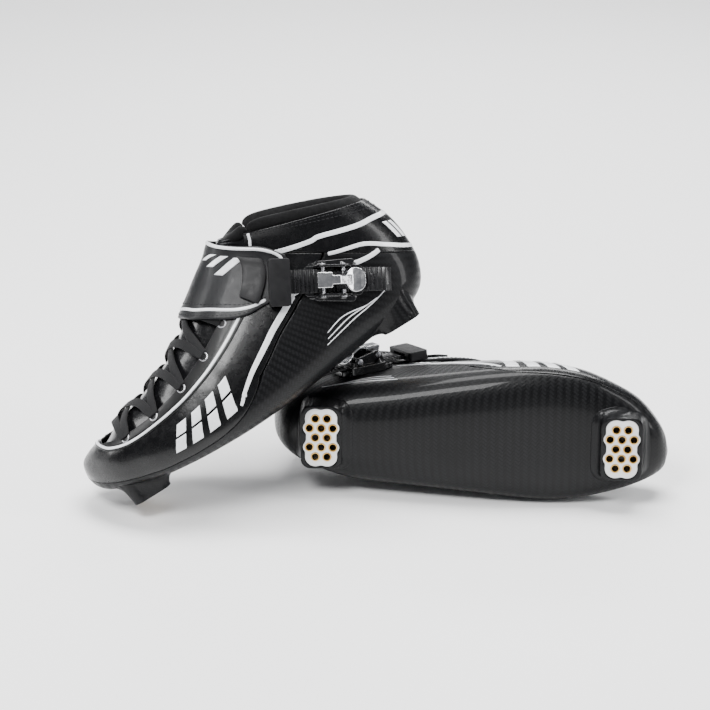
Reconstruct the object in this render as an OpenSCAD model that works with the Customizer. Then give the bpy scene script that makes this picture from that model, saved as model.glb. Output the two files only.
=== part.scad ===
// A pair of carbon speed skate boots, without blades. Each boot is designed in its own frame:
// X from heel to toe, Y to the outer side of the foot, Z up. The right boot is the mirror of the left.
// The pair is stored as it stands on a bench: the right boot lies on its inner side, and the left
// boot stands on its toe block with its heel on the right boot's strap.

/* [Boot] */
// Length of the boot, heel to toe
boot_len = 289; // [280:1:300]
// Thickness of the leather upper
leather_t = 1.8; // [1.4:0.1:2.2]
// Thickness of the carbon shell
carbon_t = 2; // [1.6:0.1:2.4]
// Thickness of the lining
liner_t = 1.2; // [0.8:0.1:1.4]
// Gap left between the upper and the lining
bond_gap = 1.1; // [0.9:0.1:1.3]

/* [Mounting plates] */
// Distance between neighbouring threaded inserts
hole_pitch = 8.5; // [8:0.1:9]
// Radius of the thread in an insert
thread_r = 2.5; // [2.4:0.05:2.6]
// Outer radius of an insert
insert_r = 3.4; // [3.2:0.05:3.6]
// Thickness of a mounting plate
plate_t = 3.2; // [3:0.1:3.4]
// Length of a mounting plate along the boot
plate_w = 26.5; // [26:0.5:28]
// Width of a mounting plate across the boot
plate_l = 44.5; // [44:0.5:46]

/* [Buckle] */
// Width of the toothed strap
ladder_w = 16.8; // [16:0.2:17]
// Distance between teeth
tooth_pitch = 3.1; // [2.8:0.1:3.4]
// Radius of the buckle's two pins
pin_r = 1.2; // [1.1:0.05:1.3]
// Radial clearance of a lever on its pin
pin_play = 0.06; // [0.04:0.01:0.08]

/* [Pose of the pair] */
// Turn of the left boot about the vertical
left_yaw = 16.1; // [15.5:0.1:16.5]
// Nose-down angle of the left boot
left_pitch = 27.8; // [27.8:0.1:28.2]
// Sideways lean of the left boot
left_lean = 19.3; // [19:0.1:19.8]
// Roll of the right boot past lying on its side
right_roll = 5; // [4.8:0.1:5.2]
// Turn of the right boot about the vertical
right_yaw = 3; // [2.5:0.1:3.5]

/* [Hidden] */
BOOT_PARTS = ["carbon_shell", "front_block", "rear_block", "front_plate", "rear_plate", "plate_inserts",
    "vamp", "lateral_quarter", "medial_quarter", "ankle_cuff", "liner", "collar_pad", "insole", "tongue",
    "lace", "eyelets", "throat_trim", "side_stripes", "cuff_strap", "strap_trim", "holder_pad",
    "strap_holder", "strap_rivets", "ladder_strap", "buckle_base", "buckle_lever", "buckle_pins",
    "release_pawl", "pawl_spring", "buckle_screws"];
$fn = 48;

left_at = [51.6, 13.3, 135];    // heel corner of the left boot's frame on the bench
right_at = [-77.1, -40.5, 49.78];   // heel corner of the right boot's frame on the bench

size = boot_len / 289;
// Cross-sections from the toe to the rim of the cuff. Each holds its bottom point (x, z), its top
// point (x, z), its centre in Y, its half width, where along its height it is widest, and the
// exponents that square off its lower and its upper half.
SECTIONS = [
    [289, 27, 289, 29, -12, 1, 0.5, 2, 2],
    [286.5, 19.5, 286.5, 38, -11, 12, 0.47, 2.1, 2],
    [280, 13.5, 279, 43.5, -7.5, 21.5, 0.44, 2.3, 2],
    [267, 9, 266, 48.5, -3, 32, 0.4, 2.6, 2],
    [250, 5.5, 248, 54, 0, 40, 0.36, 2.9, 2],
    [229, 3, 225, 60, 2.5, 47, 0.32, 3.1, 2],
    [200, 1, 202, 69, 3.5, 50.5, 0.3, 3.2, 2],
    [165, 0, 183, 80, 3.5, 49, 0.32, 3.2, 2],
    [125, 2, 166, 92, 2, 46, 0.36, 3.2, 2],
    [85, 6, 151, 103, -0.5, 43, 0.4, 3.1, 2.1],
    [52, 9.5, 141, 110, -2, 40, 0.42, 3.1, 2.2],
    [30, 12, 134, 115, -2, 37, 0.44, 2.8, 2.2],
    [11, 20.5, 129, 119, -2, 34.5, 0.46, 2.4, 2.2],
    [2, 36, 126, 122, -2, 33, 0.48, 2.3, 2.2],
    [0, 55, 123, 124.5, -2, 32.2, 0.5, 2.2, 2.2],
    [3, 76, 120, 126.5, -2, 32, 0.5, 2.2, 2.2],
    [12, 97, 117, 128, -2, 32.5, 0.5, 2.2, 2.2]];
SPANS = len(SECTIONS) - 1;
ROWS = 32;          // rows of facets from toe to rim
SEAM = 0.0012;      // gap between neighbouring panels, as a share of the surface's length or girth

THROAT_ROW = 6;     // row where the throat opening begins
VAMP_ROWS = 14;     // rows that the vamp covers
CUFF_ROW = 27;      // row where the ankle cuff begins
THROAT = [[0, 0.45], [0.18, 0.45], [0.2, 0.41], [0.24, 0.378], [0.3, 0.374], [1, 0.368]];
CARBON = [[0, 0.2], [0.3, 0.185], [0.4, 0.19], [0.44, 0.215], [0.47, 0.245], [0.55, 0.264], [0.66, 0.272],
    [0.78, 0.262], [0.85, 0.245]];
EYELETS = [0.25, 0.32, 0.39, 0.46, 0.53];

front_plate_at = [254, -3.5];   // centre of the front plate, in X, and its lower face, in Z
rear_plate_at = [37, 6.5];
plate_fit = 0.15;               // gap round a plate in its pocket and round an insert in its hole
insert_t = plate_t - 0.2;

buckle_at = [64, 33.4, 62];     // middle of the buckle, on the skin
buckle_turn = [6, 0, 6];        // how the skin leans there
strap_slope = 150;              // direction of the toothed strap, from the toe's direction
floor_t = 3.8;                  // thickness of the buckle's floor
ladder_z = 4.2;                 // underside of the toothed strap above the skin
ladder_from = -41;              // ends of the toothed strap, along itself
ladder_to = 42;
lever_pin_at = [-8.7, 12.2];    // along the strap and out from the skin
pawl_pin_at = [6.4, 9];

BLACK_LEATHER = "#141416";
CARBON_GREY = "#26282c";
SILVER = "#c9ccd1";
PLASTIC = "#1d1e21";
STEEL = "#aeb1b6";
BRASS = "#b5893c";
FABRIC = "#0d0d0f";
PLATE_WHITE = "#e4e4e2";

// ---------- the boot's surface ----------

function mix(a, b, t) = a + (b - a) * t;
function spow(a, p) = sign(a) * pow(abs(a), p);
function unit(a) = a / norm(a);
function curve(a, b, c, d, f) =
    0.5 * (2 * b + (c - a) * f + (2 * a - 5 * b + 4 * c - d) * f * f + (3 * b - 3 * c + d - a) * f * f * f);
function entry(list, i) = list[max(0, min(len(list) - 1, i))];
function along(list, t) = let (i = min(floor(t), len(list) - 2))
    curve(entry(list, i - 1), list[i], list[i + 1], entry(list, i + 2), t - i);
function section(u) = along(SECTIONS, max(0, u) * SPANS);

// A point of the outer surface: u runs from toe to rim, v once round from the sole's middle over the
// outer side, the top and the inner side.
function skin(u, v) = let (
        s = section(u), a = -cos(360 * v), b = sin(360 * v), p = 2 / (a < 0 ? s[7] : s[8]),
        up = spow(a, p), k = s[6], t = up < 0 ? k * (1 + up) : k + (1 - k) * up)
    size * [mix(s[0], s[2], t), s[4] + s[5] * spow(b, p), mix(s[1], s[3], t)];
EPS = 0.0004;
function run_dir(u, v) = unit(skin(min(1, u + EPS), v) - skin(max(0, u - EPS), v));
function round_dir(u, v) = unit(skin(u, v + EPS) - skin(u, v - EPS));
function normal(u, v) = unit(cross(run_dir(u, v), round_dir(u, v)));
function at(u, v, d) = skin(u, v) + d * normal(u, v);

// ---------- building blocks ----------

function cell(a, b, c, d) = [[a, b, c], [a, c, d]];

// A closed sheet on the surface. place(s, t) gives [u, v, outer offset, inner offset]; keep(i, j)
// says which cells of the grid are there.
module sheet(rows, cols, place, keep = function (i, j) true) {
    n = cols + 1;
    half = (rows + 1) * n;
    spots = [for (i = [0:rows], j = [0:cols]) place(i / rows, j / cols)];
    points = concat([for (q = spots) at(q[0], q[1], q[2])], [for (q = spots) at(q[0], q[1], q[3])]);
    has = function (i, j) i >= 0 && j >= 0 && i < rows && j < cols && keep(i, j);
    faces = [for (i = [0:rows - 1], j = [0:cols - 1]) if (has(i, j))
        let (a = i * n + j, b = a + 1, c = a + n + 1, d = a + n)
        each concat(
            cell(a, b, c, d), cell(a + half, d + half, c + half, b + half),
            has(i - 1, j) ? [] : cell(b, a, a + half, b + half),
            has(i + 1, j) ? [] : cell(d, c, c + half, d + half),
            has(i, j - 1) ? [] : cell(a, d, d + half, a + half),
            has(i, j + 1) ? [] : cell(c, b, b + half, c + half))];
    used = [for (k = [0:half - 1]) let (i = floor(k / n), j = k % n)
        has(i, j) || has(i - 1, j) || has(i, j - 1) || has(i - 1, j - 1)];
    polyhedron([for (k = [0:2 * half - 1]) used[k % half] ? points[k] : points[0]], faces);
}

// A flat band along a path of [u, v, width, offset] on the surface.
module band(path, steps, thick) {
    knots = len(path) - 1;
    spots = [for (i = [0:steps]) along(path, i / steps * knots)];
    mids = [for (q = spots) skin(q[0], q[1])];
    outs = [for (q = spots) normal(q[0], q[1])];
    rings = [for (i = [0:steps]) let (
            ahead = unit(mids[min(steps, i + 1)] - mids[max(0, i - 1)]),
            side = unit(cross(outs[i], ahead)) * spots[i][2] / 2,
            low = mids[i] + outs[i] * spots[i][3], high = low + outs[i] * thick)
        [low - side, low + side, high + side, high - side]];
    loft(rings);
}

// A closed solid through rings of the same number of points, with flat or fanned ends.
module loft(rings) {
    n = len(rings[0]);
    last = (len(rings) - 1) * n;
    sides = [for (i = [0:len(rings) - 2], j = [0:n - 1]) let (a = i * n + j, b = i * n + (j + 1) % n)
        each cell(b, a, a + n, b + n)];
    polyhedron([for (r = rings) each r],
        concat(sides, [[for (j = [0:n - 1]) j]], [[for (j = [n - 1:-1:0]) last + j]]));
}

// Stands its children on the surface, with Z along the normal.
module stand(u, v, d) {
    out = normal(u, v);
    translate(at(u, v, d)) rotate([0, acos(out[2]), atan2(out[1], out[0])]) children();
}

// Puts its children on the buckle's own axes: X along the toothed strap, Z out from the skin.
module on_buckle() {
    translate(size * buckle_at) rotate(buckle_turn) rotate([-90, 0, 0]) rotate([0, 0, strap_slope]) children();
}

function throat(u) = lookup(u, THROAT);
function carbon(u) = lookup(u, CARBON);
function row_u(first, last, s) = mix(first, last, s) / ROWS;

// ---------- sole: shell, mounting blocks, plates ----------

module carbon_shell() {
    color(CARBON_GREY) sheet(CUFF_ROW, 16, function (s, t) let (u = row_u(0, CUFF_ROW, s) - SEAM * s)
        [u, mix(-carbon(u) + SEAM, carbon(u) - SEAM, t), 0, -carbon_t]);
}

function hex_rows(i) = i % 2 == 0 ? [-0.5, 0.5] : [-1, 0, 1];
INSERTS = [for (i = [0:4]) for (x = hex_rows(i)) [x * hole_pitch, (i - 2) * hole_pitch * sqrt(3) / 2]];

function outline(w, l, r, arc = 6) = [for (q = [0:3], k = [0:arc - 1])
    let (sx = q == 0 || q == 3 ? 1 : -1, sy = q < 2 ? 1 : -1, a = 90 * q + 90 * k / (arc - 1))
    [sx * (w / 2 - r) + r * cos(a), sy * (l / 2 - r) + r * sin(a)]];

// Where the sole's surface lies over x, y: u is found by repeated correction, v from the girth.
function sole_v(u, y) = let (s = section(u))
    asin(max(-1, min(1, spow((y / size - s[4]) / s[5], s[7] / 2)))) / 360;
function sole_u(x, y, u, n = 6) = n == 0 ? u
    : let (miss = x - skin(u, sole_v(u, y))[0], slope = (section(u + 0.01)[0] - section(u - 0.01)[0]) * size / 0.02)
    sole_u(x, y, u + miss / slope, n - 1);
function on_sole(x, y, u0, d) = let (u = sole_u(x, y, u0)) at(u, sole_v(u, y), d);

// A block moulded under the sole, with a pocket for its plate. foot is its footprint on the sole.
module block(place, u0, foot) {
    x = place[0] * size;
    z = place[1] * size;
    ring = function (w, l, r, z) [for (p = outline(w, l, r)) [x + p[0], p[1], z]];
    root = function (f) [for (p = outline(foot[0] * f, foot[1] * f, 9 * f)) on_sole(x + p[0], p[1], u0, 0.25)];
    loft([ring(plate_w + 2 * plate_fit, plate_l + 2 * plate_fit, 6, z + plate_t + 2 * plate_fit),
        ring(plate_w + 2 * plate_fit, plate_l + 2 * plate_fit, 6, z),
        ring(plate_w + 4, plate_l + 4, 7, z), root(1), root(0.66), root(0.33)]);
}

module front_block() { color(CARBON_GREY) block(front_plate_at, 0.25, [35, 53]); }
module rear_block() { color(CARBON_GREY) block(rear_plate_at, 0.67, [33, 49]); }

// The plate's wavy outline: a waisted body with a lobe round each corner hole and each end hole.
PLATE_BODY = [11, 15];
LOBES = [for (sx = [-1, 1], sy = [-1, 1])
    each [[sx * hole_pitch, sy * hole_pitch * sqrt(3) / 2, plate_w / 2 - hole_pitch],
        [sx * hole_pitch / 2, sy * hole_pitch * sqrt(3), plate_l / 2 - hole_pitch * sqrt(3)]]];
function lobe_reach(dir, c) = let (d = dir[0] * c[0] + dir[1] * c[1],
        h = c[2] * c[2] - c[0] * c[0] - c[1] * c[1] + d * d)
    h < 0 ? 0 : d + sqrt(h);
function plate_reach(a) = let (dir = [cos(a), sin(a)])
    max(concat([min(PLATE_BODY[0] / max(0.001, abs(dir[0])), PLATE_BODY[1] / max(0.001, abs(dir[1])))],
        [for (c = LOBES) lobe_reach(dir, c)]));
PLATE_POINTS = [for (k = [0:89]) let (a = 4 * k, r = (plate_reach(a - 3) + plate_reach(a) + plate_reach(a + 3)) / 3)
    [r * cos(a), r * sin(a)]];

module plate(place) {
    color(PLATE_WHITE) translate([place[0] * size, 0, place[1] * size]) difference() {
        linear_extrude(plate_t) polygon(PLATE_POINTS);
        for (p = INSERTS) translate([p[0], p[1], -1]) cylinder(r = insert_r + 0.05, h = plate_t + 2);
    }
}
module front_plate() { plate(front_plate_at); }
module rear_plate() { plate(rear_plate_at); }

module plate_inserts() {
    color(BRASS) for (place = [front_plate_at, rear_plate_at]) translate([place[0] * size, 0, place[1] * size])
        for (p = INSERTS) translate([p[0], p[1], 0.1]) difference() {
            cylinder(r = insert_r, h = insert_t);
            translate([0, 0, -1]) cylinder(r = thread_r, h = insert_t + 2);
        }
}

// ---------- upper ----------

module vamp() {
    side = 5;
    top = 4;
    color(BLACK_LEATHER) sheet(VAMP_ROWS, 2 * side + top,
        function (s, t) let (u = row_u(0, VAMP_ROWS, s), j = t * (2 * side + top), low = carbon(u) + SEAM,
            v = j <= side ? mix(low, throat(u), j / side)
                : j <= side + top ? mix(throat(u), 1 - throat(u), (j - side) / top)
                : mix(1 - throat(u), 1 - low, (j - side - top) / side))
            [u, v, 0, -leather_t],
        function (i, j) i < THROAT_ROW || j < side || j >= side + top);
}

// A side panel between two girth positions, each a function of u.
module quarter(low, high) {
    color(BLACK_LEATHER) sheet(CUFF_ROW - VAMP_ROWS, 5,
        function (s, t) let (u = row_u(VAMP_ROWS, CUFF_ROW, s) + mix(SEAM, -SEAM, s))
            [u, mix(low(u), high(u), t), 0, -leather_t]);
}
module lateral_quarter() { quarter(function (u) carbon(u) + SEAM, function (u) throat(u)); }
module medial_quarter() { quarter(function (u) 1 - throat(u), function (u) 1 - carbon(u) - SEAM); }

module ankle_cuff() {
    color(BLACK_LEATHER) sheet(ROWS - CUFF_ROW, 18,
        function (s, t) let (u = row_u(CUFF_ROW, ROWS, s) + SEAM * (1 - s))
            [u, mix(-throat(u), throat(u), t), 0, -leather_t]);
}

liner_out = -(max(leather_t, carbon_t) + bond_gap);
module liner() {
    first = 5.12;
    color(FABRIC) sheet(13, 16, function (s, t) let (u = mix(first / ROWS, 0.94, s), v = throat(max(u, 0.25)))
        [u, mix(-v, v, t), liner_out, liner_out - liner_t]);
}

module collar_pad() {
    steps = 26;
    reach = 0.352;
    thick = 3.4;
    tall = 7.5;
    color(FABRIC) loft([for (i = [0:steps]) let (v = mix(-reach, reach, i / steps),
            out = normal(1, v), up = run_dir(1, v), mid = at(1, v, -5.9) + up * 1.5)
        [for (a = [0:45:315]) mid + out * thick * cos(a) + up * tall * sin(a)]]);
}

module insole() {
    color(FABRIC) sheet(12, 6, function (s, t) let (u = mix(0.07, 0.7, s))
        [u, mix(-0.13, 0.13, t), liner_out - liner_t - 1, liner_out - liner_t - 4]);
}

module tongue() {
    color(BLACK_LEATHER) sheet(15, 8, function (s, t) let (u = mix(0.23, 1, s), v = mix(0.37, 0.63, t),
            rise = 4.2 * pow(sin(180 * t), 2))
        [u, v, liner_out - 2 + rise, liner_out - 5.5 + rise]);
}

// ---------- laces and trim ----------

lace_w = 6;
lace_t = 0.9;
module lace() {
    color(FABRIC) {
        band([for (v = [0.385, 0.44, 0.5, 0.56, 0.615]) [EYELETS[0], v, lace_w, 0.9]], 6, lace_t);
        for (i = [0:len(EYELETS) - 2], flip = [0, 1]) {
            lift = flip == 0 ? 0.9 : 2.2;
            band([for (s = [0:0.25:1]) let (v = mix(0.385, 0.615, s))
                [mix(EYELETS[i] + 0.018, EYELETS[i + 1] - 0.014, s), flip == 0 ? v : 1 - v, lace_w, lift]], 6, lace_t);
        }
    }
}

module eyelets() {
    color(SILVER) for (u = EYELETS, v = [0.3645, 0.6355]) stand(u, v, 0.3)
        rotate_extrude() translate([2.4, 0]) square([1.1, 0.6]);
}

module throat_trim() {
    half = [[0.52, 0.339], [0.46, 0.339], [0.4, 0.34], [0.32, 0.341], [0.25, 0.342], [0.205, 0.37], [0.185, 0.41],
        [0.176, 0.455]];
    path = concat(half, [[0.174, 0.5]], [for (i = [len(half) - 1:-1:0]) [half[i][0], 1 - half[i][1]]]);
    color(SILVER) band([for (p = path) [p[0], p[1], 2, 0.3]], 40, 0.5);
}

STRIPES = [
    [[0.85, 0.306, 3], [0.892, 0.256, 3.2], [0.914, 0.234, 3.2], [0.934, 0.156, 3.4], [0.946, 0.106, 3.6],
        [0.952, 0.03, 4]],
    [[0.84, 0.242, 2.4], [0.872, 0.18, 2.8], [0.868, 0.13, 3], [0.862, 0.084, 3], [0.86, 0.03, 3]],
    [[0.661, 0.279, 5], [0.547, 0.272, 4.4], [0.493, 0.262, 3.6], [0.45, 0.24, 2]]];
MARKS = [for (i = [0:3]) [[0.325 + 0.03 * i, 0.245, 6], [0.34 + 0.03 * i, 0.3, 6]]];

module side_stripes() {
    color(SILVER) {
        for (path = STRIPES, flip = [0, 1])
            band([for (p = path) [p[0], flip == 0 ? p[1] : 1 - p[1], p[2], 0.3]], 10, 0.4);
        for (path = MARKS) band([for (p = path) [p[0], p[1], p[2], 0.3]], 4, 0.4);
    }
}

// ---------- cuff strap ----------

STRAP_LOW = [[0.3, 0.645], [0.312, 0.59], [0.335, 0.555], [0.365, 0.535], [0.43, 0.503], [0.5, 0.487]];
STRAP_HIGH = [[0.3, 0.82], [0.312, 0.86], [0.335, 0.885], [0.38, 0.888], [0.44, 0.89], [0.5, 0.905]];
STRAP_RISE = [[0.3, 0.7], [0.345, 0.9], [0.39, 3.2], [0.5, 3.4]];    // how far it stands off the boot
strap_t = 2.2;
function outer_side(v) = v > 0.5 ? 1 - v : v;
function strap_low(v) = lookup(outer_side(v), STRAP_LOW);
function strap_high(v) = lookup(outer_side(v), STRAP_HIGH);
function strap_top(v) = lookup(outer_side(v), STRAP_RISE) + strap_t;

module cuff_strap() {
    color(BLACK_LEATHER) sheet(18, 8, function (s, t) let (v = mix(0.3, 0.7, s))
        [mix(strap_high(v), strap_low(v), t), v, strap_top(v), strap_top(v) - strap_t]);
}

module strap_trim() {
    inset = 0.02;
    spots = [0.318, 0.34, 0.38, 0.42, 0.46, 0.5, 0.54, 0.58, 0.6];
    color(SILVER) {
        band([for (v = spots) [strap_low(v) + inset, v, 2, strap_top(v) + 0.5]], 16, 0.5);
        band([for (v = spots) [strap_high(v) - inset, v, 2, strap_top(v) + 0.5]], 16, 0.5);
    }
}

module holder_pad() {
    color(PLASTIC) sheet(4, 6, function (s, t) let (
            u = mix(0.8, 0.6, t), v = mix(0.34, 0.318, t) + s * mix(0.044, 0.034, t))
        [u, v, strap_top(v) + 3, strap_top(v) + 1.1]);
}

sleeve = [-47, -31.5];
slot_end = -46;
module strap_holder() {
    color(PLASTIC) on_buckle() difference() {
        translate([0, 0, 3]) linear_extrude(6.6) hull() for (x = [sleeve[0] + 2, sleeve[1] - 2], y = [-15, 15])
            translate([x, y]) circle(2);
        translate([slot_end, -ladder_w / 2 - 0.5, ladder_z - 0.4]) cube([20, ladder_w + 1, 3.7]);
    }
}

module strap_rivets() {
    color(STEEL) for (u = [0.7, 0.76]) stand(u, 0.684, strap_top(0.684) + 0.15) cylinder(r1 = 4, r2 = 3, h = 1.2);
}

// ---------- buckle ----------

wall_in = 9.3;      // inner face of a side wall, from the middle
wall_t = 1.8;

module along_y(y, l) { translate([0, y + l / 2, 0]) rotate([90, 0, 0]) children(); }

module ladder_strap() {
    web = 1.4;
    tooth = 1.3;
    bend_from = 25;
    bend = 0.012;
    teeth = floor((ladder_to - ladder_from - 14) / tooth_pitch);
    bent = function (x, z) [x, z - bend * pow(max(0, x - bend_from), 2)];
    color(PLASTIC) on_buckle() translate([0, 0, ladder_z]) rotate([90, 0, 0])
        translate([0, 0, -ladder_w / 2]) linear_extrude(ladder_w) polygon(concat(
            [[ladder_from, 0]], [for (x = [bend_from:3.4:ladder_to]) bent(x, 0)], [bent(ladder_to - 2.5, web)],
            [for (k = [0:teeth - 1]) let (x = ladder_to - 4 - k * tooth_pitch)
                each [bent(x, web), bent(x - 0.6, web + tooth), bent(x - 1.2, web + tooth),
                    bent(x - tooth_pitch + 0.3, web)]],
            [[ladder_from, web]]));
}

module buckle_base() {
    pin_x = [lever_pin_at[0], pawl_pin_at[0]];
    color(PLASTIC) on_buckle() difference() {
        union() {
            linear_extrude(floor_t) polygon(outline(42, 22, 3));
            for (side = [-1, 1]) along_y(side * (wall_in + wall_t / 2), wall_t) linear_extrude(wall_t) hull() {
                translate([-15, floor_t / 2]) square([28, 1]);
                for (p = [lever_pin_at, pawl_pin_at]) translate(p) circle(3);
            }
            for (side = [-1, 1]) translate([0, side * 12.6, 0]) linear_extrude(6.3) hull()
                for (x = [-12, 13]) translate([x, side * (x > 0 ? 0.8 : -0.4)]) circle(2);
        }
        for (p = [lever_pin_at, pawl_pin_at]) translate([p[0], 0, p[1]])
            rotate([90, 0, 0]) cylinder(r = pin_r + 0.02, h = 60, center = true);
        for (x = SCREW_X) translate([x, 0, -1]) {
            cylinder(r = 2.1, h = floor_t + 2);
            translate([0, 0, floor_t - 0.2]) cylinder(r = 3.6, h = 2);
        }
    }
}

SCREW_X = [-13, 15];
module buckle_screws() {
    shank = 5;
    head = 0.9;
    color(STEEL) on_buckle() for (x = SCREW_X) translate([x, 0, floor_t - 1.15]) difference() {
        union() {
            translate([0, 0, -shank]) cylinder(r = 2, h = shank + head);
            cylinder(r = 3.4, h = head);
        }
        translate([0, 0, -0.6]) cylinder(r = 1.2, h = 2, $fn = 6);
    }
}

lever_bore = pin_r + pin_play;
module buckle_lever() {
    x = lever_pin_at[0];
    z = lever_pin_at[1];
    color(STEEL) on_buckle() difference() {
        union() {
            along_y(0, 11) linear_extrude(11) polygon([[x - 3, z - 1], [x - 5, z + 4.6], [x - 4.4, z + 6],
                [x + 6, z + 6], [x + 6.4, z + 4.4], [x + 3, z - 1], [x + 1.5, z - 2.8], [x - 1.5, z - 2.8]]);
            along_y(0, 6.4) linear_extrude(6.4) polygon([[x + 5, z + 4], [x + 5, z + 6], [3, z + 6],
                [12, 12.6], [12, 10.4], [2, z + 3.8]]);
            intersection() {
                along_y(0, 17.6) linear_extrude(17.6) polygon([[7.5, 11.6], [7.5, 14.4], [13, 11.8], [18, 10.4],
                    [23, 11.4], [23, 9.6], [18, 8.6], [12.4, 9.9]]);
                translate([15, 0, 0]) linear_extrude(30) hull() for (y = [-1.5, 1.5]) translate([0, y]) circle(7.3);
            }
        }
        translate([x, 0, z]) rotate([90, 0, 0]) cylinder(r = lever_bore, h = 20, center = true);
    }
}

module buckle_pins() {
    head = 1;
    reach = wall_in + wall_t;
    color(STEEL) on_buckle() for (p = [lever_pin_at, pawl_pin_at]) translate([p[0], 0, p[1]]) rotate([90, 0, 0]) {
        cylinder(r = pin_r, h = 2 * reach, center = true);
        for (side = [-1, 1]) translate([0, 0, side * (reach + head / 2)])
            cylinder(r = 2.1, h = head, center = true);
    }
}

module release_pawl() {
    x = pawl_pin_at[0];
    z = pawl_pin_at[1];
    color(PLASTIC) on_buckle() difference() {
        union() {
            along_y(0, 12) linear_extrude(12) hull() {
                translate([x, z]) circle(2);
                translate([x - 5, ladder_z + 3.5]) circle(0.35);
            }
            along_y(0, 13) linear_extrude(13) hull() {
                translate([x, z]) circle(2);
                translate([x + 5, z - 0.2]) circle(0.7);
            }
        }
        translate([x, 0, z]) rotate([90, 0, 0]) cylinder(r = lever_bore, h = 30, center = true);
    }
}

module pawl_spring() {
    wire = 0.35;
    color(STEEL) on_buckle() for (y = [-8, -7.2, 7.2, 8]) translate([pawl_pin_at[0], y, pawl_pin_at[1]])
        rotate([90, 0, 0]) rotate_extrude() translate([pin_r + wire + 0.1, 0]) circle(wire);
}

// ---------- the pair ----------

module part_of(name) {
    if (name == "carbon_shell") carbon_shell();
    if (name == "front_block") front_block();
    if (name == "rear_block") rear_block();
    if (name == "front_plate") front_plate();
    if (name == "rear_plate") rear_plate();
    if (name == "plate_inserts") plate_inserts();
    if (name == "vamp") vamp();
    if (name == "lateral_quarter") lateral_quarter();
    if (name == "medial_quarter") medial_quarter();
    if (name == "ankle_cuff") ankle_cuff();
    if (name == "liner") liner();
    if (name == "collar_pad") collar_pad();
    if (name == "insole") insole();
    if (name == "tongue") tongue();
    if (name == "lace") lace();
    if (name == "eyelets") eyelets();
    if (name == "throat_trim") throat_trim();
    if (name == "side_stripes") side_stripes();
    if (name == "cuff_strap") cuff_strap();
    if (name == "strap_trim") strap_trim();
    if (name == "holder_pad") holder_pad();
    if (name == "strap_holder") strap_holder();
    if (name == "strap_rivets") strap_rivets();
    if (name == "ladder_strap") ladder_strap();
    if (name == "buckle_base") buckle_base();
    if (name == "buckle_lever") buckle_lever();
    if (name == "buckle_pins") buckle_pins();
    if (name == "release_pawl") release_pawl();
    if (name == "pawl_spring") pawl_spring();
    if (name == "buckle_screws") buckle_screws();
}

module left() {
    translate(left_at) rotate([0, 0, left_yaw]) rotate([0, -left_pitch, 0]) rotate([-left_lean, 0, 0])
        rotate([0, 0, 180]) children();
}
module right() {
    translate(right_at) rotate([0, 0, -right_yaw]) rotate([-90 - right_roll, 0, 0]) mirror([0, 1, 0]) children();
}

for (name = BOOT_PARTS) {
    left() part_of(name);
    right() part_of(name);
}
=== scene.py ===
"""A pair of carbon speed skate boots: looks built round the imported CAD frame."""
import math

import bmesh
import bpy
import numpy as np
from mathutils import Matrix, Vector


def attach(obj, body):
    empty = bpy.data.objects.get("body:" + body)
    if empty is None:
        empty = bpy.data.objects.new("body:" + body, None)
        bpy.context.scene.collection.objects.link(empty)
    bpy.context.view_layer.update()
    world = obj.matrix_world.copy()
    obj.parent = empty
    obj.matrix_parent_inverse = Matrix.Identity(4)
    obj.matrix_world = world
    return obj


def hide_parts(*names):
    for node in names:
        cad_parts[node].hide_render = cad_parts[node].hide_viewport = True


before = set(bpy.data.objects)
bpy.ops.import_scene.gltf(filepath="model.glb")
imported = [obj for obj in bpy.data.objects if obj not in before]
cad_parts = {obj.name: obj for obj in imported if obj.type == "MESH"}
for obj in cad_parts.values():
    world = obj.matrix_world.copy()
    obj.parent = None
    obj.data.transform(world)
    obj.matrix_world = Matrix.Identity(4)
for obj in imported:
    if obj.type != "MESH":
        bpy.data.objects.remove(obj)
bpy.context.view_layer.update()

MM = 0.001
rad = math.radians

# ---------- camera, floor, lights ----------

TARGET = Vector((-0.0152, -0.0545, 0.1233))
DISTANCE = 2.0
ELEVATION = rad(24)
FOCAL_MM = 143.13


def aimed(obj, place, target):
    """Links an object at place, looking at target."""
    obj.location = place
    obj.rotation_euler = (Vector(target) - Vector(place)).to_track_quat("-Z", "Y").to_euler()
    bpy.context.scene.collection.objects.link(obj)
    return obj


lens = bpy.data.cameras.new("camera")
lens.lens = FOCAL_MM
lens.sensor_width = 36
lens.clip_end = 60
eye = TARGET + DISTANCE * Vector((0, -math.cos(ELEVATION), math.sin(ELEVATION)))
bpy.context.scene.camera = aimed(bpy.data.objects.new("camera", lens), eye, TARGET)


def softbox(name, place, size, power, target=(0, 0, 0.08)):
    lamp = bpy.data.lights.new(name, "AREA")
    lamp.shape = "RECTANGLE"
    lamp.size, lamp.size_y = size
    lamp.energy = power
    aimed(bpy.data.objects.new(name, lamp), place, target)


softbox("key", (-0.5, -0.85, 1.3), (0.6, 0.45), 26)
softbox("top", (0.1, 0.2, 1.6), (1.3, 0.6), 52)
softbox("right_strip", (1.25, -0.35, 0.7), (0.22, 1.0), 9)
softbox("left_strip", (-1.25, 0.1, 0.65), (0.22, 0.9), 9)
softbox("rim", (0.2, 1.2, 0.8), (1.2, 0.25), 12)
world = bpy.data.worlds.new("studio")
world.use_nodes = True
world.node_tree.nodes["Background"].inputs["Color"].default_value = (0.93, 0.95, 1, 1)
world.node_tree.nodes["Background"].inputs["Strength"].default_value = 0.26
bpy.context.scene.world = world

# ---------- materials ----------


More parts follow.
